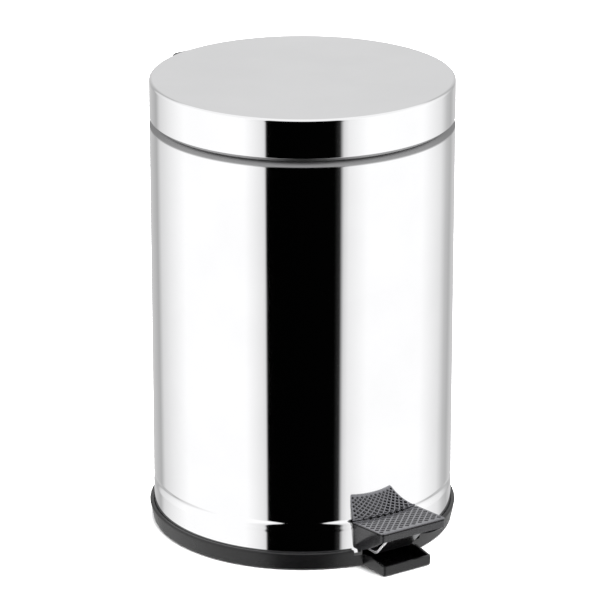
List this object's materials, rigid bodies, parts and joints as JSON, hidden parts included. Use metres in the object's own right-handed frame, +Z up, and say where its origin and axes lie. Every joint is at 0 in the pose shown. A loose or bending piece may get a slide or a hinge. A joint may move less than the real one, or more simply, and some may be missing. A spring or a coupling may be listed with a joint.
{
  "type": "pedal trash can",
  "caption": "Round polished steel pedal bin: hinged lid lifted by a black foot pedal through a lever and push rod, with a lift-out inner bucket.",
  "frame": {"origin": "middle of the outer box's footprint, on the floor; the bin's own axis is 14.1 mm behind it", "axes": "+Z up along the bin, -Y towards the pedal, +Y towards the lid's hinge, +X to the right seen from the front"},
  "size_m": [0.302, 0.3518, 0.4485],
  "materials": {
    "polished_steel": "mirror-polished stainless steel sheet",
    "pressed_steel": "cold-rolled, zinc-plated pressings",
    "zinc_fasteners": "bright zinc-plated",
    "steel_wire": "drawn wire, bright",
    "black_plastic": "moulded, satin",
    "bucket_plastic": "moulded polypropylene, satin",
    "black_rubber": "matt"
  },
  "bodies": {
    "bin": {"axle_clip_left": "zinc_fasteners", "axle_clip_right": "zinc_fasteners", "base_pan": "black_plastic", "base_screw_1": "zinc_fasteners", "base_screw_2": "zinc_fasteners", "base_screw_3": "zinc_fasteners", "base_screw_4": "zinc_fasteners", "body_shell": "polished_steel", "bottom_plate": "pressed_steel", "bracket_nut_1": "zinc_fasteners", "bracket_nut_2": "zinc_fasteners", "bracket_screw_1": "zinc_fasteners", "bracket_screw_2": "zinc_fasteners", "foot_1": "black_rubber", "foot_2": "black_rubber", "foot_3": "black_rubber", "foot_4": "black_rubber", "guide_rivet": "zinc_fasteners", "hinge_bracket": "pressed_steel", "hinge_clip_left": "zinc_fasteners", "hinge_clip_right": "zinc_fasteners", "hinge_pin": "zinc_fasteners", "pedal_axle": "zinc_fasteners", "rod_guide": "pressed_steel"},
    "lid": {"cover_screw_left": "zinc_fasteners", "cover_screw_right": "zinc_fasteners", "lid_bracket": "pressed_steel", "lid_buffer_1": "black_rubber", "lid_buffer_2": "black_rubber", "lid_buffer_3": "black_rubber", "lid_hinge_cover": "black_plastic", "lid_rivet_1": "zinc_fasteners", "lid_rivet_2": "zinc_fasteners", "lid_shell": "polished_steel"},
    "pedal": {"pad_rivet_1": "zinc_fasteners", "pad_rivet_2": "zinc_fasteners", "pedal_lever": "pressed_steel", "pedal_pad": "black_plastic"},
    "rod": {"push_rod": "steel_wire", "rod_clip": "zinc_fasteners", "rod_collar": "zinc_fasteners"},
    "bucket": {"inner_bucket": "bucket_plastic"},
    "bail": {"bucket_bail": "steel_wire", "bail_grip": "black_plastic"}
  },
  "joints": [
    {"name": "lid_hinge", "type": "hinge", "parent": "bin", "child": "lid", "pos_m": [0, 0.1687, 0.415], "axis": [-1, 0, 0], "range_deg": [0, 70]},
    {"name": "pedal_hinge", "type": "hinge", "parent": "bin", "child": "pedal", "pos_m": [0, -0.0809, 0.02], "axis": [1, 0, 0], "range_deg": [0, 6.86]},
    {"name": "rod_slide", "type": "slide", "parent": "bin", "child": "rod", "axis": [0, 0, 1], "range_m": [0, 0.02747]},
    {"name": "bucket_lift", "type": "slide", "parent": "bin", "child": "bucket", "axis": [0, 0, 1], "range_m": [0, 0.01]},
    {"name": "bail_swing", "type": "hinge", "parent": "bucket", "child": "bail", "pos_m": [0, 0.0141, 0.4], "axis": [-1, 0, 0], "range_deg": [0, 8]}
  ],
  "couplings": [
    {"joint": "rod_slide", "follows": "lid_hinge", "m_per_rad": 0.022467},
    {"joint": "pedal_hinge", "follows": "lid_hinge", "ratio": 0.097914}
  ]
}
